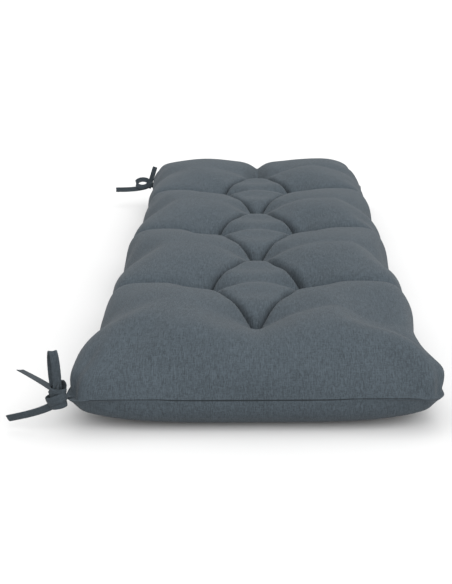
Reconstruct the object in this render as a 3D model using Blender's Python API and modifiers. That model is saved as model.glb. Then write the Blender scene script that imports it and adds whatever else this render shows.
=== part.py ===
"""Tufted bench cushion with a knotted tie at each back corner, lying on its underside.

Metres, +Z up. The origin is in the middle of the flat underside. +Y runs along the bench and
+X from the back edge, where the ties are, to the front edge.
"""

import math

import bmesh
import bpy
import numpy as np
from mathutils import Vector

# The sewn outline and the filled height
LENGTH = 1.20
WIDTH = 0.50
SEAM_HEIGHT = 0.050
CROWN = 0.073  # of the puffs above the seam
CORNER_RADIUS = 0.026

# The tufts: single ones on the middle line alternate with pairs
TUFT_ROWS = 7
ROW_PITCH = LENGTH / (TUFT_ROWS + 1)
PAIR_OFFSET = WIDTH / 6
CELLS_PER_PITCH = 7  # of the panels' grid, so that every crease runs along mesh edges

# How far in from the sides and from the ends the panels round over towards the seam
TOP_RIM = (0.080, 0.075)
TOP_FULLNESS = 2.8
UNDER_RIM = (0.100, 0.042)
UNDER_FULLNESS = 2.0
BULGE = 0.004  # of the filled panels past the seam
END_CELL_SHARE = 0.55  # of an outer cell's size to an inner one's at the seam

# Creases in the top panel. Depth is a share of the crown: at the first tuft, half way, and at
# the far end. Reach is how far the puffs on each side roll down into the crease.
CREASE_COLUMNS = ("start", "middle", "end", "reach")
CREASES = {
    "tuft to tuft": (1.10, 0.72, 1.10, 0.050),
    "across the middle": (1.10, 0.26, 1.10, 0.060),
    "pair to side": (1.10, 0.26, 0.18, 0.075),
    "single to side": (0.90, 0.08, 0.16, 0.065),
    "single to near end": (0.90, 0.10, 0.00, 0.060),
    "single to far end": (1.00, 0.42, 0.10, 0.080),
}
ROLL_POWER = 3.2
SMOOTH_MAX = 4.0  # power that joins creases where they meet
TUFT_HEIGHT = 0.014  # of the covered stitch above the underside

# The tie tapes: a folded and stitched strip, knotted at each back corner
TAPE_WIDTH = 0.0115
TAPE_THICKNESS = 0.0016
STEPS_PER_STATION = 4
KNOT_TAPER = 0.3  # how much narrower a knot is below than above
KNOT_EDGE = 0.3  # radius of a knot's edges, as a share of its smallest size

# Stations along each tape: place, and the direction of the tape's width there
NEAR_KNOT = {"place": (-0.2680, -0.5900, 0.0520), "size": (0.026, 0.018, 0.024), "turn": 20}
FAR_KNOT = {"place": (-0.2630, 0.5760, 0.0540), "size": (0.016, 0.014, 0.016), "turn": -25}
NEAR_TAPES = {
    "sewn_end": (
        (-0.2506, -0.5833, 0.0500, 0.34, -0.94, 0),
        (-0.2580, -0.5865, 0.0508, 0.34, -0.94, 0),
        (-0.2680, -0.5900, 0.0520, 0.34, -0.94, 0),
    ),
    "loop": (
        (-0.2690, -0.5940, 0.0560, 1, 0, 0),
        (-0.2630, -0.5975, 0.0790, 1, 0, 0),
        (-0.2620, -0.5970, 0.1040, 1, 0.1, 0),
        (-0.2655, -0.5920, 0.1190, 1, 0.3, 0),
        (-0.2715, -0.5840, 0.1100, 1, 0.3, 0),
        (-0.2720, -0.5830, 0.0820, 1, 0.2, 0),
        (-0.2700, -0.5870, 0.0560, 1, 0, 0),
    ),
    "small_loop": (
        (-0.2660, -0.5930, 0.0600, 0.8, -0.6, 0),
        (-0.2610, -0.5920, 0.0700, 0.8, -0.5, 0.2),
        (-0.2560, -0.5850, 0.0750, 0.7, -0.6, 0.3),
        (-0.2550, -0.5770, 0.0710, 0.7, -0.6, 0.2),
        (-0.2590, -0.5740, 0.0630, 0.8, -0.6, 0),
        (-0.2660, -0.5820, 0.0560, 0.8, -0.6, 0),
    ),
    "short_end": (
        (-0.2690, -0.5880, 0.0560, 0.8, 0.3, 0.4),
        (-0.2830, -0.5720, 0.0610, 0.85, 0.2, 0.35),
        (-0.3080, -0.5450, 0.0630, 0.9, 0.3, 0.2),
        (-0.3330, -0.5200, 0.0600, 0.9, 0.4, 0.1),
    ),
    "long_end": (
        (-0.2690, -0.5900, 0.0490, 1, 0, -0.3),
        (-0.2740, -0.5930, 0.0380, 0.8, 0.2, -0.7),
        (-0.2830, -0.5910, 0.0290, 0.3, 0.2, -1),
        (-0.3050, -0.5830, 0.0220, 0.1, 0.35, -1),
        (-0.3410, -0.5720, 0.0150, 0.05, 0.4, -1),
    ),
}
FAR_TAPES = {
    "sewn_end": (
        (-0.2512, 0.5740, 0.0500, 0, 1, 0),
        (-0.2560, 0.5750, 0.0515, 0, 1, 0.1),
        (-0.2630, 0.5760, 0.0540, 0, 1, 0.2),
    ),
    "loop": (
        (-0.2620, 0.5780, 0.0580, 0.1, 0.75, 0.65),
        (-0.2730, 0.5850, 0.0680, -0.1, 0.75, 0.65),
        (-0.2860, 0.5820, 0.0690, -0.3, 0.7, 0.6),
        (-0.2930, 0.5720, 0.0600, -0.2, 0.8, 0.6),
        (-0.2870, 0.5640, 0.0520, 0.2, 0.8, 0.5),
        (-0.2750, 0.5650, 0.0500, 0.1, 0.7, 0.7),
        (-0.2630, 0.5720, 0.0520, 0, 0.6, 0.8),
    ),
    "up_end": (
        (-0.2630, 0.5760, 0.0560, 1, 0.2, 0),
        (-0.2590, 0.5790, 0.0700, 0.9, 0.4, -0.1),
        (-0.2545, 0.5830, 0.0860, 0.9, 0.4, -0.1),
        (-0.2500, 0.5850, 0.1005, 1, 0.3, 0),
    ),
    "long_end": (
        (-0.2640, 0.5740, 0.0510, 0.3, 0.3, 1),
        (-0.2750, 0.5710, 0.0430, 0.25, 0.2, 1),
        (-0.2930, 0.5740, 0.0390, 0.05, 0.3, 1),
        (-0.3200, 0.5850, 0.0390, 0, 0.3, 1),
        (-0.3500, 0.5960, 0.0390, 0, 0.3, 1),
    ),
}

# The sides are drawn in between the ends, and most where a row's creases reach the seam
WAIST = 0.005
WAIST_FROM_END = 0.14
DRAWN_IN = {"pair": 0.005, "single": 0.008}
DRAWN_IN_REACH = 0.050


def crease(kind, start, end):
    return dict(zip(CREASE_COLUMNS, CREASES[kind]), a=np.array(start), b=np.array(end))


def row_y(row):
    return -LENGTH / 2 + row * ROW_PITCH


def tufts_of(row):
    """The places of a row's tufts: one on the middle line in odd rows, a pair in even ones."""
    columns = (0.0,) if row % 2 else (-PAIR_OFFSET, PAIR_OFFSET)
    return [(x, row_y(row)) for x in columns]


def all_creases():
    found = []
    for row in range(1, TUFT_ROWS + 1):
        y = row_y(row)
        for side in (-1, 1):
            edge = (side * WIDTH / 2, y)
            if row % 2:
                found.append(crease("single to side", (0.0, y), edge))
                continue
            tuft = (side * PAIR_OFFSET, y)
            found.append(crease("pair to side", tuft, edge))
            for next_row in (row - 1, row + 1):
                found.append(crease("tuft to tuft", tuft, tufts_of(next_row)[0]))
        if not row % 2:
            found.append(crease("across the middle", *tufts_of(row)))
    for row, end, side in ((1, "near", -1), (TUFT_ROWS, "far", 1)):
        found.append(crease(f"single to {end} end", (0.0, row_y(row)), (0.0, side * LENGTH / 2)))
    return found


def roll(share):
    """How much of a crease's depth is left at this share of its reach, steepest at the crease."""
    return (1 - np.clip(share, 0, 1)) ** ROLL_POWER


def crease_depth(c, points):
    """The crease's depth, as a share of the crown, at each point of the plan."""
    along = c["b"] - c["a"]
    t = np.clip((points - c["a"]) @ along / (along @ along), 0, 1)
    away = np.linalg.norm(points - (c["a"] + t[:, None] * along), axis=1)
    ends = c["start"] + (c["end"] - c["start"]) * t
    sag = (c["middle"] - (c["start"] + c["end"]) / 2) * 4 * t * (1 - t)
    return (ends + sag) * roll(away / c["reach"])


def rim(points, reach, fullness):
    """Along x and y: 0 at the seam and 1 from reach inwards, rising steeply at the seam."""
    inwards = np.array((WIDTH, LENGTH)) / 2 - np.abs(points)
    outward = 1 - np.clip(inwards / np.array(reach), 0, 1)
    return (1 - outward**fullness) ** (1 / fullness)


def top_height(points):
    depths = [crease_depth(c, points) for c in all_creases()]
    lost = sum(np.maximum(d, 0) ** SMOOTH_MAX for d in depths) ** (1 / SMOOTH_MAX)
    height = SEAM_HEIGHT + CROWN * (1 - lost) * rim(points, TOP_RIM, TOP_FULLNESS).prod(axis=1)
    return np.maximum(height, TUFT_HEIGHT)


def under_height(points):
    return SEAM_HEIGHT * (1 - rim(points, UNDER_RIM, UNDER_FULLNESS).prod(axis=1))


def drawn_in(points):
    """How far the long sides move inwards at each point: beside each row of tufts the most."""
    from_end = np.clip((LENGTH / 2 - np.abs(points[:, 1])) / WAIST_FROM_END, 0, 1)
    found = WAIST * from_end**2 * (3 - 2 * from_end)
    for row in range(1, TUFT_ROWS + 1):
        amount = DRAWN_IN["single" if row % 2 else "pair"]
        found += amount * np.exp(-(((points[:, 1] - row_y(row)) / DRAWN_IN_REACH) ** 2))
    return found


def sewn_outline(points):
    """Moves points of the flat rectangle to the sewn outline: round corners, sides drawn in."""
    half = np.array((WIDTH, LENGTH)) / 2
    ring = np.abs(points / half).max(axis=1)
    edge = points / np.maximum(ring, 1e-9)[:, None]
    from_corner = half - np.abs(edge)
    turn = math.pi / 4 * (1 - np.clip(from_corner.max(axis=1) / CORNER_RADIUS, 0, 1))
    on_side = from_corner[:, 0] < from_corner[:, 1]
    angle = np.where(on_side, turn, math.pi / 2 - turn)
    centre = half - CORNER_RADIUS
    rounded = centre + CORNER_RADIUS * np.stack((np.cos(angle), np.sin(angle)), axis=1)
    near_corner = from_corner.max(axis=1) < CORNER_RADIUS
    target = np.where(near_corner[:, None], np.sign(edge) * rounded, edge)
    moved = points + (ring**6)[:, None] * (target - edge)
    moved[:, 0] -= np.sign(points[:, 0]) * ring**6 * on_side * drawn_in(points)
    return moved


def closer_to_seam(share):
    """Spaces grid lines in the outermost block, from 0 to 1, closer together at the seam."""
    return share + (1 - END_CELL_SHARE) * share * (1 - share)


def grid_lines(blocks, size):
    """Grid coordinates across the panel, in blocks of CELLS_PER_PITCH cells."""
    lines = np.linspace(-blocks / 2, blocks / 2, blocks * CELLS_PER_PITCH + 1)
    inner = blocks / 2 - 1
    outer = np.abs(lines) > inner
    share = np.abs(lines[outer]) - inner
    lines[outer] = np.sign(lines[outer]) * (inner + closer_to_seam(share))
    return lines * size / blocks


def split_along_creases(bm, blocks_along):
    """Cuts each cell of the unit grid along the diagonal that the tuft to tuft creases follow."""
    for face in bm.faces[:]:
        x, y, _ = face.calc_center_median()
        rising = (x > 0) == bool(int((y + 0.5) * blocks_along) % 2)
        corners = sorted(face.verts, key=lambda v: (v.co.x + v.co.y if rising else v.co.x - v.co.y))
        bmesh.utils.face_split(face, corners[0], corners[-1])


def panel(height, faces_down):
    """One panel as a grid whose points are moved to the sewn outline and the panel's height."""
    bm = bmesh.new()
    blocks = (round(WIDTH / PAIR_OFFSET), TUFT_ROWS + 1)
    cells = [n * CELLS_PER_PITCH for n in blocks]
    made = bmesh.ops.create_grid(bm, x_segments=cells[0], y_segments=cells[1], size=0.5)
    split_along_creases(bm, blocks[1])
    verts = made["verts"]
    lines = (grid_lines(blocks[0], WIDTH), grid_lines(blocks[1], LENGTH))
    index = np.rint([[(v.co[k] + 0.5) * cells[k] for k in range(2)] for v in verts]).astype(int)
    flat = np.stack((lines[0][index[:, 0]], lines[1][index[:, 1]]), axis=1)
    steep = rim(flat, TOP_RIM, TOP_FULLNESS)
    plan = sewn_outline(flat) + np.sign(flat) * BULGE * 4 * steep * (1 - steep)
    for v, (x, y), z in zip(verts, plan, height(flat)):
        v.co = (x, y, z)
    if faces_down:
        bmesh.ops.reverse_faces(bm, faces=bm.faces[:])
    made_mesh = bpy.data.meshes.new("panel")
    bm.to_mesh(made_mesh)
    bm.free()
    return made_mesh


def add_object(name, bm, material):
    mesh = bpy.data.meshes.new(name)
    bm.normal_update()
    bm.to_mesh(mesh)
    bm.free()
    obj = bpy.data.objects.new(name, mesh)
    obj.data.materials.append(material)
    parts.objects.link(obj)
    return obj


def fabric(name, colour):
    material = bpy.data.materials.new(name)
    material.use_nodes = True
    shader = material.node_tree.nodes["Principled BSDF"]
    shader.inputs["Base Color"].default_value = (*colour, 1.0)
    shader.inputs["Roughness"].default_value = 0.9
    shader.inputs["Metallic"].default_value = 0.0
    return material


def build_cushion(material):
    bm = bmesh.new()
    bm.from_mesh(panel(top_height, faces_down=False))
    bm.from_mesh(panel(under_height, faces_down=True))
    bmesh.ops.remove_doubles(bm, verts=bm.verts, dist=1e-5)
    return add_object("cushion", bm, material)


def smooth_path(stations):
    """Points on a Catmull-Rom curve through the rows of a station table."""
    rows = np.array(stations, float)
    rows = np.vstack((2 * rows[0] - rows[1], rows, 2 * rows[-1] - rows[-2]))
    found = []
    for a, b, c, d in zip(rows, rows[1:], rows[2:], rows[3:]):
        for t in np.arange(STEPS_PER_STATION) / STEPS_PER_STATION:
            curve = (2 * b + (c - a) * t + (2 * a - 5 * b + 4 * c - d) * t**2
                     + (3 * b - a - 3 * c + d) * t**3) / 2
            found.append(curve)
    return np.array(found + [rows[-2]])


def tape(name, stations, material):
    """A strip of tape that follows its stations: an open surface given its thickness."""
    bm = bmesh.new()
    last = None
    for row in smooth_path(stations):
        place = Vector(row[:3])
        half = Vector(row[3:]).normalized() * TAPE_WIDTH / 2
        pair = [bm.verts.new(place - half), bm.verts.new(place + half)]
        if last:
            bm.faces.new((last[0], last[1], pair[1], pair[0]))
        last = pair
    obj = add_object(name, bm, material)
    thick = obj.modifiers.new("thickness", "SOLIDIFY")
    thick.thickness = TAPE_THICKNESS
    thick.offset = 0.0
    return obj


def knot(name, place, size, turn, material):
    """The body of a knot: the wraps of tape pulled tight, as one block with soft edges."""
    bm = bmesh.new()
    bmesh.ops.create_cube(bm, size=1.0)
    for v in bm.verts:
        lean = 1 - KNOT_TAPER * (v.co.z < 0)
        v.co = Vector((v.co.x * lean * size[0], v.co.y * lean * size[1], v.co.z * size[2]))
    obj = add_object(name, bm, material)
    obj.location = place
    obj.rotation_euler = (0, math.radians(turn), 0)
    soft = obj.modifiers.new("soft_edges", "BEVEL")
    soft.width = min(size) * KNOT_EDGE
    soft.segments = 3
    return obj


def build_tie(name, knot_row, tapes, material):
    """One tape, knotted: its loops and ends are joined to the knot as a single solid."""
    body = knot(name, **knot_row, material=material)
    for piece, stations in tapes.items():
        strip = tape(f"{name}_{piece}", stations, material)
        as_helper(strip)
        join = body.modifiers.new(piece, "BOOLEAN")
        join.operation = "UNION"
        join.object = strip
    return body


def as_helper(obj):
    parts.objects.unlink(obj)
    helpers.objects.link(obj)
    obj.hide_render = True
    obj.display_type = "WIRE"


for leftover in list(bpy.data.objects):
    bpy.data.objects.remove(leftover)
parts = bpy.data.collections.new("bench_cushion")
helpers = bpy.data.collections.new("cutters")
for collection in (parts, helpers):
    bpy.context.scene.collection.children.link(collection)

cover = fabric("cover_fabric", (0.115, 0.137, 0.159))
build_cushion(cover)
build_tie("near_tie", NEAR_KNOT, NEAR_TAPES, cover)
build_tie("far_tie", FAR_KNOT, FAR_TAPES, cover)
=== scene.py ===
"""A tufted bench cushion with knotted ties on its two back corners, dressed over its CAD frame.

Metres, +Z up, +Y along the bench. The cover's top panel starts as a height field drawn down at
the tufts, and Blender's Cloth inflates it. The under panel is joined to it along the seam at mid
height. The ties are strips of tape along curves, and their knots are wraps of the same tape.
"""

import math

import bmesh
import bpy
import numpy as np
from mathutils import Matrix, Vector


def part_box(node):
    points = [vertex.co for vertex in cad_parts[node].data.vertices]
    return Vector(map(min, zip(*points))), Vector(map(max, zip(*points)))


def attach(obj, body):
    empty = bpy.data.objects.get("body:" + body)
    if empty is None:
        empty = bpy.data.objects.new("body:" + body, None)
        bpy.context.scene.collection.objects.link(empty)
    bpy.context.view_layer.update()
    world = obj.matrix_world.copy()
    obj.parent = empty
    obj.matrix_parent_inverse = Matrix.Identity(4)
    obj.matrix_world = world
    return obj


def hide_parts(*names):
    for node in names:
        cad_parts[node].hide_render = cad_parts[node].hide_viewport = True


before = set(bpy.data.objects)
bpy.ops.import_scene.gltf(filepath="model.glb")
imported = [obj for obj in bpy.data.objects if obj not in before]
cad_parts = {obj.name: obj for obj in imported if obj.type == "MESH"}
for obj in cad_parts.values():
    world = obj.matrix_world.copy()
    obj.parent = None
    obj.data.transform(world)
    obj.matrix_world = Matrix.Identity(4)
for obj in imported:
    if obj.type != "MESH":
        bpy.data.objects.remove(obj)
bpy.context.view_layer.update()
cushion_low, cushion_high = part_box("cushion")

# The sewn outline and the filled height
LENGTH = cushion_high[1] - cushion_low[1]
WIDTH = 0.50
SEAM_HEIGHT = 0.050
CROWN = 0.065
CORNER_RADIUS = 0.022

# The tufts: single ones on the middle line alternate with pairs
TUFT_ROWS = 7
ROW_PITCH = LENGTH / (TUFT_ROWS + 1)
PAIR_OFFSET = WIDTH / 6
TUFT_HEIGHT = 0.020

# The mesh: cells between neighbouring tuft rows and columns, and from the last ones to the seam
INNER_CELLS = 15
SIDE_CELLS = 26
END_CELLS = 18

# How far in the panels round over towards the seam, from the sides, the near and the far end
TOP_RIM = (0.062, 0.120, 0.066)
TOP_FULLNESS = 2.8
UNDER_RIM = (0.260, 0.054, 0.054)
UNDER_FULLNESS = 2.4
TOP_CORNER = 6.0  # how squarely the rims of two sides meet at a corner
UNDER_CORNER = 5.5
SIDE_BULGE = 0.002
END_BULGE = 0.006
NEAR_CORNER_BULGE = {"left": 0.016, "right": 0.015}  # on top of the side's, near the near end
NEAR_CORNER_REACH = 0.13
UNDER_SHARE = 0.5  # of the top panel's bulge in the panel underneath
# The ties pull the left corners out: place, how far towards -x, and reach
PULLED_CORNERS = (
    ((-0.25, -0.58), 0.008, 0.13),
    ((-0.25, 0.58), 0.005, 0.13),
)

# Creases in the top panel. Depth is a share of the crown: at the first tuft, half way, and at
# the far end. Reach is how far the puffs on each side roll down into the crease. Held is how
# firmly the stitches keep the crease at its depth while the panel is inflated.
CREASE_COLUMNS = ("start", "middle", "end", "reach", "held", "held_end", "roll")
CREASES = {
    "tuft to tuft": (0.52, 0.16, 0.34, 0.018, 1.0, 1.0, "puffed"),
    "across the middle": (0.60, 0.12, 0.60, 0.040, 0.0, 0.0, "soft"),
    "pair to side": (0.55, 0.32, 0.26, 0.036, 0.3, 0.0, "puffed"),
    "single to left": (0.10, 0.02, 0.06, 0.060, 0.0, 0.0, "soft"),
    "single to right": (0.16, 0.07, 0.08, 0.045, 0.0, 0.0, "soft"),
    "first to left": (0.06, 0.00, 0.00, 0.060, 0.0, 0.0, "soft"),
    "first to right": (0.16, 0.06, 0.04, 0.045, 0.0, 0.0, "soft"),
    "single to near end": (0.20, 0.02, 0.00, 0.070, 0.0, 0.0, "soft"),
    "single to far end": (0.80, 0.36, 0.20, 0.050, 0.7, 0.5, "soft"),
}
SIDE_NAMES = {-1: "left", 1: "right"}
DIP_DEPTH = 0.32  # of the whole panel towards each tuft, as a share of the crown
DIP_REACH = 0.062
DIP_POWER = 1.6
LIFTED = (((-0.12, 0.52), 0.07, 0.009), ((0.18, 0.53), 0.05, 0.001))  # place, reach, height
SOFT_POWER = 2.5
PUFFED_POWER = 2.2
SMOOTH_MAX = 4.0

# The puffs on both sides of a tuft to tuft crease bulge towards each other over it
PINCH = 0.0055
PINCH_REACH = 0.015
PINCH_MOST = 0.72
PINCH_BLEND = 0.004
SLIT_DEPTH = 0.016
SLIT_REACH = 0.004
# Where the puffs stand a little apart and the slit shows dark: place, reach, and how far open
OPEN_SPOTS = (
    ((0.060, -0.262), 0.022, 0.90),
    ((0.035, -0.215), 0.022, 0.90),
    ((0.047, -0.365), 0.012, 0.95),
    ((-0.028, 0.245), 0.012, 0.90),
    ((-0.062, 0.300), 0.012, 0.80),
)
OPEN_DEPTH = 0.020

# The sides are drawn in between the ends, and most where a row's creases reach the seam
WAIST = 0.006
WAIST_FROM_END = 0.14
DRAWN_IN = {"pair": 0.008, "single": 0.010}
DRAWN_IN_REACH = 0.040
# The sides' own unevenness: place along y, reach, and how far inwards
SIDE_MOVES = {
    "left": (
        (-0.440, 0.035, 0.004),
        (-0.385, 0.045, 0.004),
        (-0.200, 0.035, 0.005),
        (-0.010, 0.045, -0.010),
        (0.110, 0.040, 0.005),
    ),
    "right": (
        (-0.490, 0.030, 0.007),
        (-0.395, 0.040, 0.005),
        (-0.200, 0.030, 0.004),
        (-0.090, 0.045, 0.004),
        (0.190, 0.040, 0.004),
        (0.400, 0.070, 0.004),
        (0.570, 0.050, -0.002),
    ),
}

# Inflating the top panel
INFLATE_FRAMES = 24
PRESSURE = 3.0
SLACK = 0.02  # extra cloth in the panel, as a share of its length
MOST_MOVE = 0.022
EVEN_ROUNDS = 10
CLOTH_QUALITY = 6
CLOTH_MASS = 0.25
STRETCH_STIFFNESS = 12
SHEAR_STIFFNESS = 6
BENDING_STIFFNESS = 2.0
SELF_DISTANCE = 0.003
# A crease holds or splits the points this near to it, in widths of a cell
HOLD_WITHIN = 0.6
SPLIT_WITHIN = 0.2
# The highest puffs are pressed flatter from this height on, and stay this little above it at most
PRESSED_FROM = 0.129
PRESSED_WITHIN = 0.014


def smoothstep(t):
    t = np.clip(t, 0, 1)
    return t * t * (3 - 2 * t)


def row_y(row):
    return -LENGTH / 2 + row * ROW_PITCH


def tufts_of(row):
    """The places of a row's tufts: one on the middle line in odd rows, a pair in even ones."""
    columns = (0.0,) if row % 2 else (-PAIR_OFFSET, PAIR_OFFSET)
    return [(x, row_y(row)) for x in columns]


def crease(kind, start, end):
    return dict(zip(CREASE_COLUMNS, CREASES[kind]), a=np.array(start), b=np.array(end))


def all_creases():
    found = []
    for row in range(1, TUFT_ROWS + 1):
        y = row_y(row)
        for side in (-1, 1):
            edge = (side * WIDTH / 2, y)
            if row % 2:
                kind = "first" if row == 1 else "single"
                found.append(crease(f"{kind} to {SIDE_NAMES[side]}", (0.0, y), edge))
                continue
            tuft = (side * PAIR_OFFSET, y)
            found.append(crease("pair to side", tuft, edge))
            for next_row in (row - 1, row + 1):
                found.append(crease("tuft to tuft", tuft, tufts_of(next_row)[0]))
        if not row % 2:
            found.append(crease("across the middle", *tufts_of(row)))
    for row, end, side in ((1, "near", -1), (TUFT_ROWS, "far", 1)):
        found.append(crease(f"single to {end} end", (0.0, row_y(row)), (0.0, side * LENGTH / 2)))
    return found


def along_and_away(c, points):
    """Where each point is along a crease, from 0 to 1, and its distance from it."""
    line = c["b"] - c["a"]
    t = np.clip((points - c["a"]) @ line / (line @ line), 0, 1)
    return t, np.linalg.norm(points - (c["a"] + t[:, None] * line), axis=1)


def crease_depth(c, points):
    """The crease's depth, as a share of the crown, at each point of the plan."""
    t, away = along_and_away(c, points)
    ends = c["start"] + (c["end"] - c["start"]) * t
    sag = (c["middle"] - (c["start"] + c["end"]) / 2) * 4 * t * (1 - t)
    left = 1 - np.clip(away / c["reach"], 0, 1)
    if c["roll"] == "soft":
        return (ends + sag) * left**SOFT_POWER
    return (ends + sag) * (1 - (1 - left**PUFFED_POWER) ** (1 / PUFFED_POWER))


def outwardness(points, reach):
    """Along x and y: 1 at the seam, falling to 0 at reach inwards from it."""
    inwards = np.array((WIDTH, LENGTH)) / 2 - np.abs(points)
    ends = np.where(points[:, 1] < 0, reach[1], reach[2])
    reaches = np.stack((np.full(len(points), reach[0]), ends), axis=1)
    return 1 - np.clip(inwards / reaches, 0, 1)


def rim(points, reach, fullness, corner):
    """0 at the seam and 1 from reach inwards, rising steeply at the seam."""
    outward = (outwardness(points, reach) ** corner).sum(axis=1) ** (1 / corner)
    return (1 - np.clip(outward, 0, 1) ** fullness) ** (1 / fullness)


def bulged(points, reach, share):
    """How far each point moves outwards over the seam: most half way up the panel's side."""
    outward = outwardness(points, reach)
    most = outward.max(axis=1)
    direction = np.sign(points) * outward**4
    from_near = (points[:, 1] + LENGTH / 2) / NEAR_CORNER_REACH
    corner = np.where(points[:, 0] < 0, NEAR_CORNER_BULGE["left"], NEAR_CORNER_BULGE["right"])
    side = SIDE_BULGE + corner * np.exp(-(from_near**2))
    bulge = np.stack((side, np.full(len(points), END_BULGE)), axis=1)
    return direction * bulge * (most**2 * np.sin(math.pi * np.clip(share, 0, 1)))[:, None]


def pinched(points):
    """How far each point moves towards the tuft to tuft creases near it."""
    moves, weights = [], []
    for c in all_creases():
        if c["held"] < 1.0:
            continue
        t, away = along_and_away(c, points)
        foot = c["a"] + t[:, None] * (c["b"] - c["a"])
        step = np.minimum(PINCH_MOST * away, PINCH * np.exp(-away / PINCH_REACH))
        moves.append((foot - points) * (step / np.maximum(away, 1e-9))[:, None])
        weights.append(np.exp(-away / PINCH_BLEND) + 1e-12)
    total = sum(weights)
    return sum(m * (w / total)[:, None] for m, w in zip(moves, weights))


def top_height(points):
    depths = [crease_depth(c, points) for c in all_creases()]
    lost = sum(np.maximum(d, 0) ** SMOOTH_MAX for d in depths) ** (1 / SMOOTH_MAX)
    dip = np.zeros(len(points))
    for row in range(1, TUFT_ROWS + 1):
        for tuft in tufts_of(row):
            away = np.linalg.norm(points - tuft, axis=1) / DIP_REACH
            dip = np.maximum(dip, DIP_DEPTH * (1 - np.clip(away, 0, 1)) ** DIP_POWER)
    lost = dip + (1 - dip) * lost
    rise = rim(points, TOP_RIM, TOP_FULLNESS, TOP_CORNER)
    height = SEAM_HEIGHT + CROWN * (1 - lost) * rise
    for place, reach, lift in LIFTED:
        away = np.linalg.norm(points - place, axis=1) / reach
        height += lift * rise * np.exp(-(away**2))
    return np.maximum(height, TUFT_HEIGHT)


def under_height(points):
    return SEAM_HEIGHT * (1 - rim(points, UNDER_RIM, UNDER_FULLNESS, UNDER_CORNER))


def drawn_in(points):
    """How far the long sides move inwards at each point: beside each row of tufts the most."""
    from_end = (LENGTH / 2 - np.abs(points[:, 1])) / WAIST_FROM_END
    found = WAIST * smoothstep(from_end)
    for row in range(1, TUFT_ROWS + 1):
        amount = DRAWN_IN["single" if row % 2 else "pair"]
        found += amount * np.exp(-(((points[:, 1] - row_y(row)) / DRAWN_IN_REACH) ** 2))
    for side, name in SIDE_NAMES.items():
        for at, reach, amount in SIDE_MOVES[name]:
            move = amount * np.exp(-(((points[:, 1] - at) / reach) ** 2))
            found += np.where(points[:, 0] * side > 0, move, 0)
    return found


def sewn_outline(points):
    """Moves points of the flat rectangle to the sewn outline: round corners, sides drawn in."""
    half = np.array((WIDTH, LENGTH)) / 2
    ring = np.abs(points / half).max(axis=1)
    edge = points / np.maximum(ring, 1e-9)[:, None]
    from_corner = half - np.abs(edge)
    turn = math.pi / 4 * (1 - np.clip(from_corner.max(axis=1) / CORNER_RADIUS, 0, 1))
    on_side = from_corner[:, 0] < from_corner[:, 1]
    angle = np.where(on_side, turn, math.pi / 2 - turn)
    centre = half - CORNER_RADIUS
    rounded = centre + CORNER_RADIUS * np.stack((np.cos(angle), np.sin(angle)), axis=1)
    near_corner = from_corner.max(axis=1) < CORNER_RADIUS
    target = np.where(near_corner[:, None], np.sign(edge) * rounded, edge)
    moved = points + (ring**6)[:, None] * (target - edge)
    moved[:, 0] -= np.sign(points[:, 0]) * ring**6 * on_side * drawn_in(points)
    for corner, pull, reach in PULLED_CORNERS:
        away = np.linalg.norm(points - corner, axis=1) / reach
        moved[:, 0] -= pull * np.exp(-(away**2))
    return moved


def rim_steps(reach, rise, fullness, length, cells):
    """Distances from the seam, in plan and along the cloth, of cells of equal length on the cloth."""
    angle = np.linspace(0, math.pi / 2, 400)
    inwards = reach * (1 - np.cos(angle) ** (2 / fullness))
    up = rise * np.sin(angle) ** (2 / fullness)
    cloth = np.concatenate(([0], np.cumsum(np.hypot(np.diff(inwards), np.diff(up)))))
    inwards = np.append(inwards, length)
    cloth = np.append(cloth, cloth[-1] + length - reach)
    even = np.linspace(0, cloth[-1], cells + 1)
    return np.interp(even, cloth, inwards), even


def grid_lines(half, inner, outer_cells, inner_blocks, reach):
    """Plan coordinates of the grid's lines, and the same lines' coordinates on the flat cloth."""
    plan, cloth = rim_steps(reach, CROWN, TOP_FULLNESS, half - inner, outer_cells)
    middle = np.linspace(-inner, inner, inner_blocks * INNER_CELLS + 1)
    outer_plan, outer_cloth = half - plan[:-1], inner + cloth[-1] - cloth[:-1]
    lines = np.concatenate((-outer_plan, middle, outer_plan[::-1]))
    flat = np.concatenate((-outer_cloth, middle, outer_cloth[::-1]))
    return lines, flat


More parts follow.
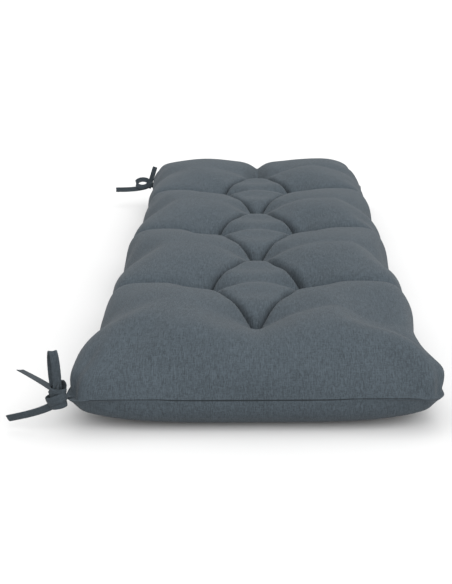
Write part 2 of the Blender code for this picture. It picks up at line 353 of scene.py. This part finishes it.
def panel(name, height, faces_down):
    """One panel of the cover: a grid on the sewn outline, with its flat cloth as its UVs."""
    inner_rows = TUFT_ROWS - 1
    xs, flat_x = grid_lines(WIDTH / 2, PAIR_OFFSET, SIDE_CELLS, 2, TOP_RIM[0])
    ys, flat_y = grid_lines(LENGTH / 2, inner_rows / 2 * ROW_PITCH, END_CELLS, inner_rows, TOP_RIM[1])
    bm = bmesh.new()
    from_seam = bm.verts.layers.float.new("from_seam")
    weave = bm.loops.layers.uv.new("weave")
    cells = (len(xs) - 1, len(ys) - 1)
    verts = bmesh.ops.create_grid(bm, x_segments=cells[0], y_segments=cells[1], size=0.5)["verts"]
    index = np.rint([[(v.co[k] + 0.5) * cells[k] for k in range(2)] for v in verts]).astype(int)
    plan = np.stack((xs[index[:, 0]], ys[index[:, 1]]), axis=1)
    cloth = np.stack((flat_x[index[:, 0]], flat_y[index[:, 1]]), axis=1)
    edge = np.array((flat_x[-1], flat_y[-1]))
    for v in verts:
        v[from_seam] = (edge - np.abs(cloth[v.index])).min()
    for face in bm.faces:
        for loop in face.loops:
            loop[weave].uv = cloth[loop.vert.index]
    z = height(plan)
    if faces_down:
        bulge = UNDER_SHARE * bulged(plan, UNDER_RIM, 1 - z / SEAM_HEIGHT)
    else:
        bulge = bulged(plan, TOP_RIM, (z - SEAM_HEIGHT) / CROWN)
    place = sewn_outline(plan) + bulge
    for v, (x, y), up in zip(verts, place, z):
        v.co = (x, y, up)
    bm.verts.index_update()
    if faces_down:
        bmesh.ops.reverse_faces(bm, faces=bm.faces[:])
    else:
        split_along_creases(bm, plan)
    mesh = bpy.data.meshes.new(name)
    bm.to_mesh(mesh)
    bm.free()
    return mesh, plan


def split_along_creases(bm, plan):
    """Cuts the cells that a tuft to tuft crease crosses along the crease."""
    near = SPLIT_WITHIN * PAIR_OFFSET / INNER_CELLS
    on_crease = np.zeros(len(plan), bool)
    for c in all_creases():
        if c["held"] == 1.0:
            on_crease |= along_and_away(c, plan)[1] < near
    bm.verts.ensure_lookup_table()
    for face in bm.faces[:]:
        ends = [v for v in face.verts if on_crease[v.index]]
        if len(ends) == 2 and bm.edges.get(ends) is None:
            bmesh.utils.face_split(face, ends[0], ends[1])


def held_weights(plan):
    """How firmly each point of the top panel is held: 1 on the seam, the tufts and their creases."""
    half = np.array((WIDTH, LENGTH)) / 2
    held = (np.abs(plan) > half - 1e-6).any(axis=1).astype(float)
    near = HOLD_WITHIN * PAIR_OFFSET / INNER_CELLS
    for c in all_creases():
        t, away = along_and_away(c, plan)
        firm = c["held"] + (c["held_end"] - c["held"]) * t
        held = np.maximum(held, np.where(away < near, firm, 0))
    return held


def evened(obj, move):
    """Spreads each point's move to its neighbours, which irons out small ripples."""
    ends = np.array([e.vertices for e in obj.data.edges])
    count = np.bincount(ends.ravel(), minlength=len(move))[:, None]
    free = np.linalg.norm(move, axis=1) > 0
    for _ in range(EVEN_ROUNDS):
        total = np.zeros_like(move)
        np.add.at(total, ends[:, 0], move[ends[:, 1]])
        np.add.at(total, ends[:, 1], move[ends[:, 0]])
        move = np.where(free[:, None], (move + total / count) / 2, move)
    return move


def inflate(obj, plan):
    """Blows up the top panel between its seam and its tufts, and keeps the result."""
    before = np.array([v.co for v in obj.data.vertices])
    group = obj.vertex_groups.new(name="held")
    for i, weight in enumerate(held_weights(plan)):
        if weight > 0:
            group.add([i], float(weight), "REPLACE")
    cloth = obj.modifiers.new("inflate", "CLOTH")
    s = cloth.settings
    s.quality = CLOTH_QUALITY
    s.mass = CLOTH_MASS
    s.tension_stiffness = s.compression_stiffness = STRETCH_STIFFNESS
    s.shear_stiffness = SHEAR_STIFFNESS
    s.bending_stiffness = BENDING_STIFFNESS
    s.use_pressure = True
    s.uniform_pressure_force = PRESSURE
    s.vertex_group_mass = "held"
    s.shrink_min = -SLACK
    s.effector_weights.gravity = 0.0
    cloth.collision_settings.use_collision = False
    cloth.collision_settings.use_self_collision = True
    cloth.collision_settings.self_distance_min = SELF_DISTANCE
    cloth.point_cache.frame_start = 1
    cloth.point_cache.frame_end = INFLATE_FRAMES
    for number in range(1, INFLATE_FRAMES + 1):
        bpy.context.scene.frame_set(number)
    graph = bpy.context.evaluated_depsgraph_get()
    blown = obj.evaluated_get(graph).to_mesh()
    after = np.array([v.co for v in blown.vertices])
    obj.modifiers.remove(cloth)
    bpy.context.scene.frame_set(1)
    move = after - before
    far = np.linalg.norm(move, axis=1)
    move *= np.minimum(1, MOST_MOVE / np.maximum(far, 1e-9))[:, None]
    places = before + evened(obj, move)
    over = np.maximum(places[:, 2] - PRESSED_FROM, 0)
    places[:, 2] += PRESSED_WITHIN * (1 - np.exp(-over / PRESSED_WITHIN)) - over
    for v, place in zip(obj.data.vertices, places):
        v.co = place


def cut_slits(obj, plan):
    """Draws the cloth down along the tuft to tuft creases, and closes the puffs over them."""
    opened = np.zeros(len(plan))
    for place, reach, share in OPEN_SPOTS:
        away = np.linalg.norm(plan - place, axis=1) / reach
        opened = np.maximum(opened, share * np.exp(-(away**2)))
    closing = pinched(plan) * (1 - opened)[:, None]
    drop = np.zeros(len(plan))
    for c in all_creases():
        if c["held"] == 1.0:
            away = along_and_away(c, plan)[1]
            depth = SLIT_DEPTH + OPEN_DEPTH * opened
            drop = np.maximum(drop, depth * (1 - np.clip(away / SLIT_REACH, 0, 1)))
    for v, (x, y), down in zip(obj.data.vertices, closing, drop):
        v.co = (v.co.x + x, v.co.y + y, max(v.co.z - down, min(v.co.z, TUFT_HEIGHT)))


def new_object(name, mesh):
    obj = bpy.data.objects.new(name, mesh)
    bpy.context.scene.collection.objects.link(obj)
    return obj


def shade_smooth(obj):
    obj.data.polygons.foreach_set("use_smooth", [True] * len(obj.data.polygons))


def build_cushion(material):
    top, plan = panel("top_panel", top_height, faces_down=False)
    under, _ = panel("under_panel", under_height, faces_down=True)
    obj = new_object("bench_cushion", top)
    inflate(obj, plan)
    cut_slits(obj, plan)
    bm = bmesh.new()
    bm.from_mesh(obj.data)
    bm.from_mesh(under)
    bmesh.ops.remove_doubles(bm, verts=bm.verts, dist=1e-5)
    bm.to_mesh(obj.data)
    bm.free()
    smooth = obj.modifiers.new("smooth", "SUBSURF")
    smooth.levels = smooth.render_levels = 1
    obj.data.materials.append(material)
    shade_smooth(obj)
    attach(obj, "root")
    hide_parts("cushion")
    return obj


# ---- ties

TAPE_WIDTH = 0.0115
TAPE_THICKNESS = 0.0014
TAPE_CUP = 0.0007  # how far a tape's edges curl back from its middle
STEPS_PER_STATION = 6
TAPE_COLUMNS = (-1.0, -0.8, -0.3, 0.3, 0.8, 1.0)  # across the tape, from edge to edge

LEG_STATIONS = 5
OVAL_STATIONS = 9


def leg(start, bend, tip, start_width, tip_width):
    """Stations on a curve from start to tip that leans towards bend: place and width direction."""
    start, bend, tip = np.array(start), np.array(bend), np.array(tip)
    start_width, tip_width = np.array(start_width), np.array(tip_width)
    rows = []
    for t in np.linspace(0, 1, LEG_STATIONS):
        place = (1 - t) ** 2 * start + 2 * t * (1 - t) * bend + t**2 * tip
        rows.append((*place, *(start_width + t * (tip_width - start_width))))
    return rows


def oval(centre, out, up, turn, width):
    """Stations round an oval with half sizes out and up, over the two angles of turn in degrees."""
    centre, out, up = np.array(centre), np.array(out), np.array(up)
    rows = []
    for angle in np.radians(np.linspace(*turn, OVAL_STATIONS)):
        place = centre + out * math.sin(angle) - up * math.cos(angle)
        rows.append((*place, *width))
    return rows


# Where each tape leaves the cushion's corner, and where it enters its knot
NEAR_SEWN = (-0.249, -0.584, 0.050)
NEAR_TIE = (-0.266, -0.596, 0.054)
FAR_SEWN = (-0.249, 0.574, 0.050)
FAR_TIE = (-0.263, 0.574, 0.060)
TIES = {
    "near_tie": {
        "sewn_end": leg(
            start=NEAR_SEWN,
            bend=(-0.258, -0.590, 0.052),
            tip=NEAR_TIE,
            start_width=(0.3, -0.9, 0.3),
            tip_width=(0.3, -0.8, 0.4),
        ),
        "loop": oval(
            centre=(-0.267, -0.594, 0.090),
            out=(0.0045, -0.007, 0),
            up=(0, 0, 0.030),
            turn=(10, 350),
            width=(1, 0.15, 0),
        ),
        "small_loop": oval(
            centre=(-0.261, -0.595, 0.070),
            out=(0, 0, 0.009),
            up=(0.004, 0.005, 0),
            turn=(-25, 215),
            width=(0.7, -0.6, 0.1),
        ),
        "short_end": leg(
            start=(-0.267, -0.596, 0.064),
            bend=(-0.290, -0.575, 0.068),
            tip=(-0.331, -0.528, 0.064),
            start_width=(0.5, 0.8, 0),
            tip_width=(0.75, 0.65, -0.3),
        ),
        "long_end": leg(
            start=(-0.265, -0.596, 0.050),
            bend=(-0.273, -0.600, 0.037),
            tip=(-0.338, -0.588, 0.019),
            start_width=(0.7, 0, -0.7),
            tip_width=(0.05, 0.3, -1),
        ),
    },
    "far_tie": {
        "sewn_end": leg(
            start=FAR_SEWN,
            bend=(-0.256, 0.575, 0.055),
            tip=FAR_TIE,
            start_width=(0, 1, 0.1),
            tip_width=(0, 1, 0.2),
        ),
        "loop": oval(
            centre=(-0.280, 0.576, 0.0645),
            out=(0, 0.009, 0.007),
            up=(-0.016, 0, 0),
            turn=(0, 345),
            width=(0, 0.35, 0.93),
        ),
        "up_end": leg(
            start=FAR_TIE,
            bend=(-0.257, 0.576, 0.078),
            tip=(-0.248, 0.580, 0.104),
            start_width=(1, 0.1, -0.2),
            tip_width=(1, 0.2, -0.1),
        ),
        "long_end": leg(
            start=(-0.264, 0.573, 0.059),
            bend=(-0.285, 0.567, 0.050),
            tip=(-0.347, 0.580, 0.048),
            start_width=(0.3, 0.2, 1),
            tip_width=(0, 0.25, 1),
        ),
    },
}

# The wraps of each knot, from the inside out: centre, half sizes across the view and along it,
# tilt from level in degrees, width of the tape, and how far round it goes in degrees
WRAP_COLUMNS = ("centre", "across", "deep", "tilt", "width", "turn")
KNOTS = {
    "near_tie": (
        ((-0.2660, -0.5960, 0.0560), 0.0075, 0.0050, 20, 0.0220, 420),
        ((-0.2650, -0.5965, 0.0455), 0.0110, 0.0070, 10, 0.0105, 400),
        ((-0.2640, -0.5960, 0.0655), 0.0105, 0.0065, -6, 0.0080, 380),
        ((-0.2665, -0.5968, 0.0540), 0.0135, 0.0085, 20, 0.0125, 420),
    ),
    "far_tie": (
        ((-0.2625, 0.5740, 0.0600), 0.0045, 0.0035, 30, 0.0140, 420),
        ((-0.2620, 0.5740, 0.0600), 0.0075, 0.0055, 65, 0.0100, 400),
        ((-0.2635, 0.5740, 0.0600), 0.0090, 0.0070, 20, 0.0095, 420),
    ),
}
WRAP_STATIONS = 16
WRAP_GROWTH = 0.0012  # how much further out a wrap ends than it starts


def smooth_path(stations):
    """Points on a Catmull-Rom curve through the rows of a station table."""
    rows = np.array(stations, float)
    rows = np.vstack((2 * rows[0] - rows[1], rows, 2 * rows[-1] - rows[-2]))
    found = []
    for a, b, c, d in zip(rows, rows[1:], rows[2:], rows[3:]):
        for t in np.arange(STEPS_PER_STATION) / STEPS_PER_STATION:
            square = (2 * a - 5 * b + 4 * c - d) * t**2
            found.append((2 * b + (c - a) * t + square + (3 * b - a - 3 * c + d) * t**3) / 2)
    return np.array(found + [rows[-2]])


def add_tape(bm, stations, width):
    """Adds a strip of tape along its stations, and returns its length."""
    weave = bm.loops.layers.uv.verify()
    path = smooth_path(stations)
    ahead = np.gradient(path[:, :3], axis=0)
    along = np.concatenate(([0], np.cumsum(np.linalg.norm(np.diff(path[:, :3], axis=0), axis=1))))
    last = None
    for row, forward, at in zip(path, ahead, along):
        forward = Vector(forward).normalized()
        across = Vector(row[3:])
        across = (across - across.dot(forward) * forward).normalized()
        out = forward.cross(across)
        line = []
        for u in TAPE_COLUMNS:
            place = Vector(row[:3]) + across * (u * width / 2) - out * (TAPE_CUP * u * u)
            line.append((bm.verts.new(place), (u * width / 2, at)))
        if last:
            for a, b, c, d in zip(last, last[1:], line[1:], line):
                face = bm.faces.new((a[0], b[0], c[0], d[0]))
                for loop, (_, uv) in zip(face.loops, (a, b, c, d)):
                    loop[weave].uv = uv
        last = line
    return along[-1]


def wrap_stations(wrap):
    """Stations once round a knot and a little more, winding outwards, with hidden ends."""
    tilt = math.radians(wrap["tilt"])
    level = np.array((math.cos(tilt), 0, math.sin(tilt)))
    axis = np.array((-math.sin(tilt), 0, math.cos(tilt)))
    rows = []
    for share in np.linspace(0, 1, WRAP_STATIONS):
        angle = math.radians(90 + wrap["turn"] * (share - 0.5) + 180)
        grown = WRAP_GROWTH * share
        place = np.array(wrap["centre"]) + (wrap["across"] + grown) * math.cos(angle) * level
        place += (wrap["deep"] + grown) * math.sin(angle) * np.array((0, 1, 0))
        rows.append((*place, *axis))
    return rows


def finish_tape(name, bm, material):
    """Makes the strips into an object with the cloth's thickness and soft edges."""
    mesh = bpy.data.meshes.new(name)
    bm.to_mesh(mesh)
    bm.free()
    mesh.uv_layers[0].name = "weave"
    obj = new_object(name, mesh)
    thick = obj.modifiers.new("thickness", "SOLIDIFY")
    thick.thickness = TAPE_THICKNESS
    thick.offset = 0.0
    soft = obj.modifiers.new("soft_edges", "SUBSURF")
    soft.levels = soft.render_levels = 1
    obj.data.materials.append(material)
    shade_smooth(obj)
    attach(obj, "root")
    return obj


def build_tie(name, material):
    bm = bmesh.new()
    length = sum(add_tape(bm, stations, TAPE_WIDTH) for stations in TIES[name].values())
    tape = finish_tape(f"{name}_tape", bm, material)
    bm = bmesh.new()
    for row in KNOTS[name]:
        wrap = dict(zip(WRAP_COLUMNS, row))
        add_tape(bm, wrap_stations(wrap), wrap["width"])
    knot = finish_tape(f"{name}_knot", bm, material)
    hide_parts(name)
    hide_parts(name)


# ---- materials

# Heathered plain weave: streaks of mixed yarn, longer along the yarn than across it (metres)
BASE_COLOUR = (0.0430, 0.0545, 0.0640)
DARK_YARN = 0.58
LIGHT_YARN = 1.40
ALONG_YARN = (0.0013, 0.0080)
ACROSS_YARN = (0.0070, 0.0013)
DISTORTION = 1.2
PATCH = 0.11
WEAVE_PITCH = 0.0010
WEAVE_DEPTH = 0.00012
SEAM_WIDTH = 0.0016
PUCKER_SIZE = 0.007
PUCKER_REACH = 0.014
PUCKER_DEPTH = 0.0016
# painted shade: the seam's line is painted this dark, for the shade in the groove where the panels meet
SEAM_PAINTED_SHADE = 0.3
TIE_PAINTED_SHADE = 0.75  # the tapes' cloth painted darker than the cover's, as a share of its colour: painted shade on the ties
# How much of each noise is in the mix that picks the yarn's colour
ALONG_SHARE = 0.62
ACROSS_SHARE = 0.38
PATCH_SHARE = 0.05
YARN_RANGE = (0.30, 0.755)  # the mix at the darkest and at the lightest yarn
WEAVE_STRENGTH = 0.8
PUCKER_STRENGTH = 0.6


def node(tree, kind, inputs=None, **settings):
    """Adds a node, with its settings, and its inputs as values or as links from other sockets."""
    made = tree.nodes.new("ShaderNode" + kind)
    for name, value in settings.items():
        setattr(made, name, value)
    for name, value in (inputs or {}).items():
        if isinstance(value, bpy.types.NodeSocket):
            tree.links.new(value, made.inputs[name])
        else:
            made.inputs[name].default_value = value
    return made


def maths(tree, operation, *values):
    return node(tree, "Math", dict(enumerate(values)), operation=operation).outputs[0]


def noise(tree, place, size, detail=2.0, roughness=0.6):
    """Noise whose features are size = (x, y) metres on the flat cloth, or one size in all directions."""
    size = (size,) * 3 if isinstance(size, float) else (*size, 1.0)
    scaled = node(tree, "Mapping", {"Vector": place, "Scale": tuple(1 / s for s in size)})
    inputs = {"Vector": scaled.outputs[0], "Scale": 1.0, "Detail": detail, "Roughness": roughness}
    inputs["Distortion"] = DISTORTION
    return node(tree, "TexNoise", inputs).outputs["Fac"]


def spread(tree, value, low, high):
    """The value as 0 at low and 1 at high."""
    inputs = {"Value": value, "From Min": low, "From Max": high}
    return node(tree, "MapRange", inputs, interpolation_type="SMOOTHSTEP").outputs[0]


def shade(colour, share):
    return (*(c * share for c in colour), 1)


def fabric(name, seam, painted_shade_share=1.0):
    """The cover's cloth, its colour times a share that paints shade on a darker copy for the ties' tapes.
    With seam, the piece has its seam's distance in from_seam and a line of painted shade along the seam.
    """
    material = bpy.data.materials.new(name)
    material.use_nodes = True
    tree = material.node_tree
    shader = tree.nodes["Principled BSDF"]
    uv = node(tree, "UVMap", uv_map="weave").outputs[0]
    along = noise(tree, uv, ALONG_YARN)
    across = noise(tree, uv, ACROSS_YARN)
    patches = noise(tree, uv, PATCH, detail=3.0)
    crossing = maths(tree, "MULTIPLY", across, ACROSS_SHARE)
    mix = maths(tree, "MULTIPLY_ADD", along, ALONG_SHARE, crossing)
    yarn = spread(tree, maths(tree, "MULTIPLY_ADD", patches, PATCH_SHARE, mix), *YARN_RANGE)
    colours = {
        6: shade(BASE_COLOUR, DARK_YARN * painted_shade_share),
        7: shade(BASE_COLOUR, LIGHT_YARN * painted_shade_share),
        0: yarn,
    }
    colour = node(tree, "Mix", colours, data_type="RGBA").outputs[2]
    axes = node(tree, "SeparateXYZ", {0: uv}).outputs
    turns = 2 * math.pi / WEAVE_PITCH
    warp = maths(tree, "SINE", maths(tree, "MULTIPLY", axes[0], turns))
    weft = maths(tree, "SINE", maths(tree, "MULTIPLY", axes[1], turns))
    height = maths(tree, "MULTIPLY_ADD", maths(tree, "MULTIPLY", warp, weft), 0.5, mix)
    bump = {"Height": height, "Distance": WEAVE_DEPTH, "Strength": WEAVE_STRENGTH}
    if seam:
        away = node(tree, "Attribute", attribute_name="from_seam").outputs["Fac"]
        # a darker line painted along the seam: painted shade in the seam's groove
        line = spread(tree, away, SEAM_WIDTH, SEAM_WIDTH / 3)
        shaded = {0: line, 6: colour, 7: shade(BASE_COLOUR, SEAM_PAINTED_SHADE)}
        colour = node(tree, "Mix", shaded, data_type="RGBA").outputs[2]
        place = node(tree, "TexCoord").outputs["Object"]
        reach = spread(tree, away, PUCKER_REACH, 0.0)
        puckers = maths(tree, "MULTIPLY", noise(tree, place, PUCKER_SIZE), reach)
        pucker_inputs = {"Height": puckers, "Distance": PUCKER_DEPTH}
        pucker_inputs["Strength"] = PUCKER_STRENGTH
        bump["Normal"] = node(tree, "Bump", pucker_inputs).outputs[0]
    rough = spread(tree, yarn, -1.0, 2.0)
    tree.links.new(maths(tree, "MULTIPLY_ADD", rough, 0.2, 0.78), shader.inputs["Roughness"])
    tree.links.new(colour, shader.inputs["Base Color"])
    tree.links.new(node(tree, "Bump", bump).outputs[0], shader.inputs["Normal"])
    shader.inputs["Sheen Weight"].default_value = 0.05
    shader.inputs["Sheen Roughness"].default_value = 0.5
    shader.inputs["Specular IOR Level"].default_value = 0.15
    return material


# ---- the room

FLOOR_SIZE = 14.0
FLOOR_GREY = 0.57
FLOOR_DROP = 0.0005


def build_floor():
    bm = bmesh.new()
    bmesh.ops.create_grid(bm, x_segments=1, y_segments=1, size=FLOOR_SIZE)
    mesh = bpy.data.meshes.new("floor")
    bm.to_mesh(mesh)
    bm.free()
    floor = new_object("floor", mesh)
    material = bpy.data.materials.new("pale_floor")
    material.use_nodes = True
    shader = material.node_tree.nodes["Principled BSDF"]
    shader.inputs["Base Color"].default_value = (FLOOR_GREY, FLOOR_GREY, FLOOR_GREY, 1)
    shader.inputs["Roughness"].default_value = 1.0
    shader.inputs["Specular IOR Level"].default_value = 0.0
    floor.data.materials.append(material)
    floor.location.z = -FLOOR_DROP


# The studio's soft light: brighter overhead than round the horizon
SKY_POWER = 2.0
HORIZON = 0.60
ZENITH = 2.30
KEY_FROM = (1.0, -1.8, 1.5)
KEY_ANGLE = math.radians(70)
KEY_STRENGTH = 2.6


def build_lights():
    world = bpy.data.worlds.new("studio")
    bpy.context.scene.world = world
    world.use_nodes = True
    background = world.node_tree.nodes["Background"]
    background.inputs["Color"].default_value = (1, 1, 1, 1)
    tree = world.node_tree
    direction = node(tree, "TexCoord").outputs["Generated"]
    up = maths(tree, "MAXIMUM", node(tree, "SeparateXYZ", {0: direction}).outputs[2], 0.0)
    glow = maths(tree, "MULTIPLY_ADD", maths(tree, "POWER", up, SKY_POWER), ZENITH - HORIZON, HORIZON)
    tree.links.new(glow, background.inputs["Strength"])
    light = bpy.data.lights.new("key", "SUN")
    light.angle = KEY_ANGLE
    light.energy = KEY_STRENGTH
    obj = bpy.data.objects.new("key", light)
    bpy.context.scene.collection.objects.link(obj)
    obj.rotation_euler = (-Vector(KEY_FROM)).to_track_quat("-Z", "Y").to_euler()


CAMERA_PLACE = (0.0069, -1.7747, 0.6260)
CAMERA_YAW, CAMERA_PITCH, CAMERA_ROLL = 2.160, 19.790, -1.220
LENS = 60.7


def build_camera():
    camera = bpy.data.cameras.new("camera")
    camera.sensor_width = 36
    camera.lens = LENS
    obj = bpy.data.objects.new("camera", camera)
    bpy.context.scene.collection.objects.link(obj)
    turn = (
        Matrix.Rotation(math.radians(CAMERA_YAW), 4, "Z")
        @ Matrix.Rotation(math.radians(90 - CAMERA_PITCH), 4, "X")
        @ Matrix.Rotation(math.radians(CAMERA_ROLL), 4, "Z")
    )
    obj.matrix_world = Matrix.Translation(CAMERA_PLACE) @ turn
    bpy.context.scene.camera = obj


def main():
    cover = fabric("cover_fabric", seam=True)
    build_cushion(cover)
    # the ties' tapes: a darker copy of the cover's cloth, as painted shade
    tape = fabric("tie_fabric", seam=False, painted_shade_share=TIE_PAINTED_SHADE)
    for name in TIES:
        build_tie(name, tape)
    build_floor()
    build_lights()
    build_camera()
    bpy.context.scene.view_settings.view_transform = "Standard"


main()
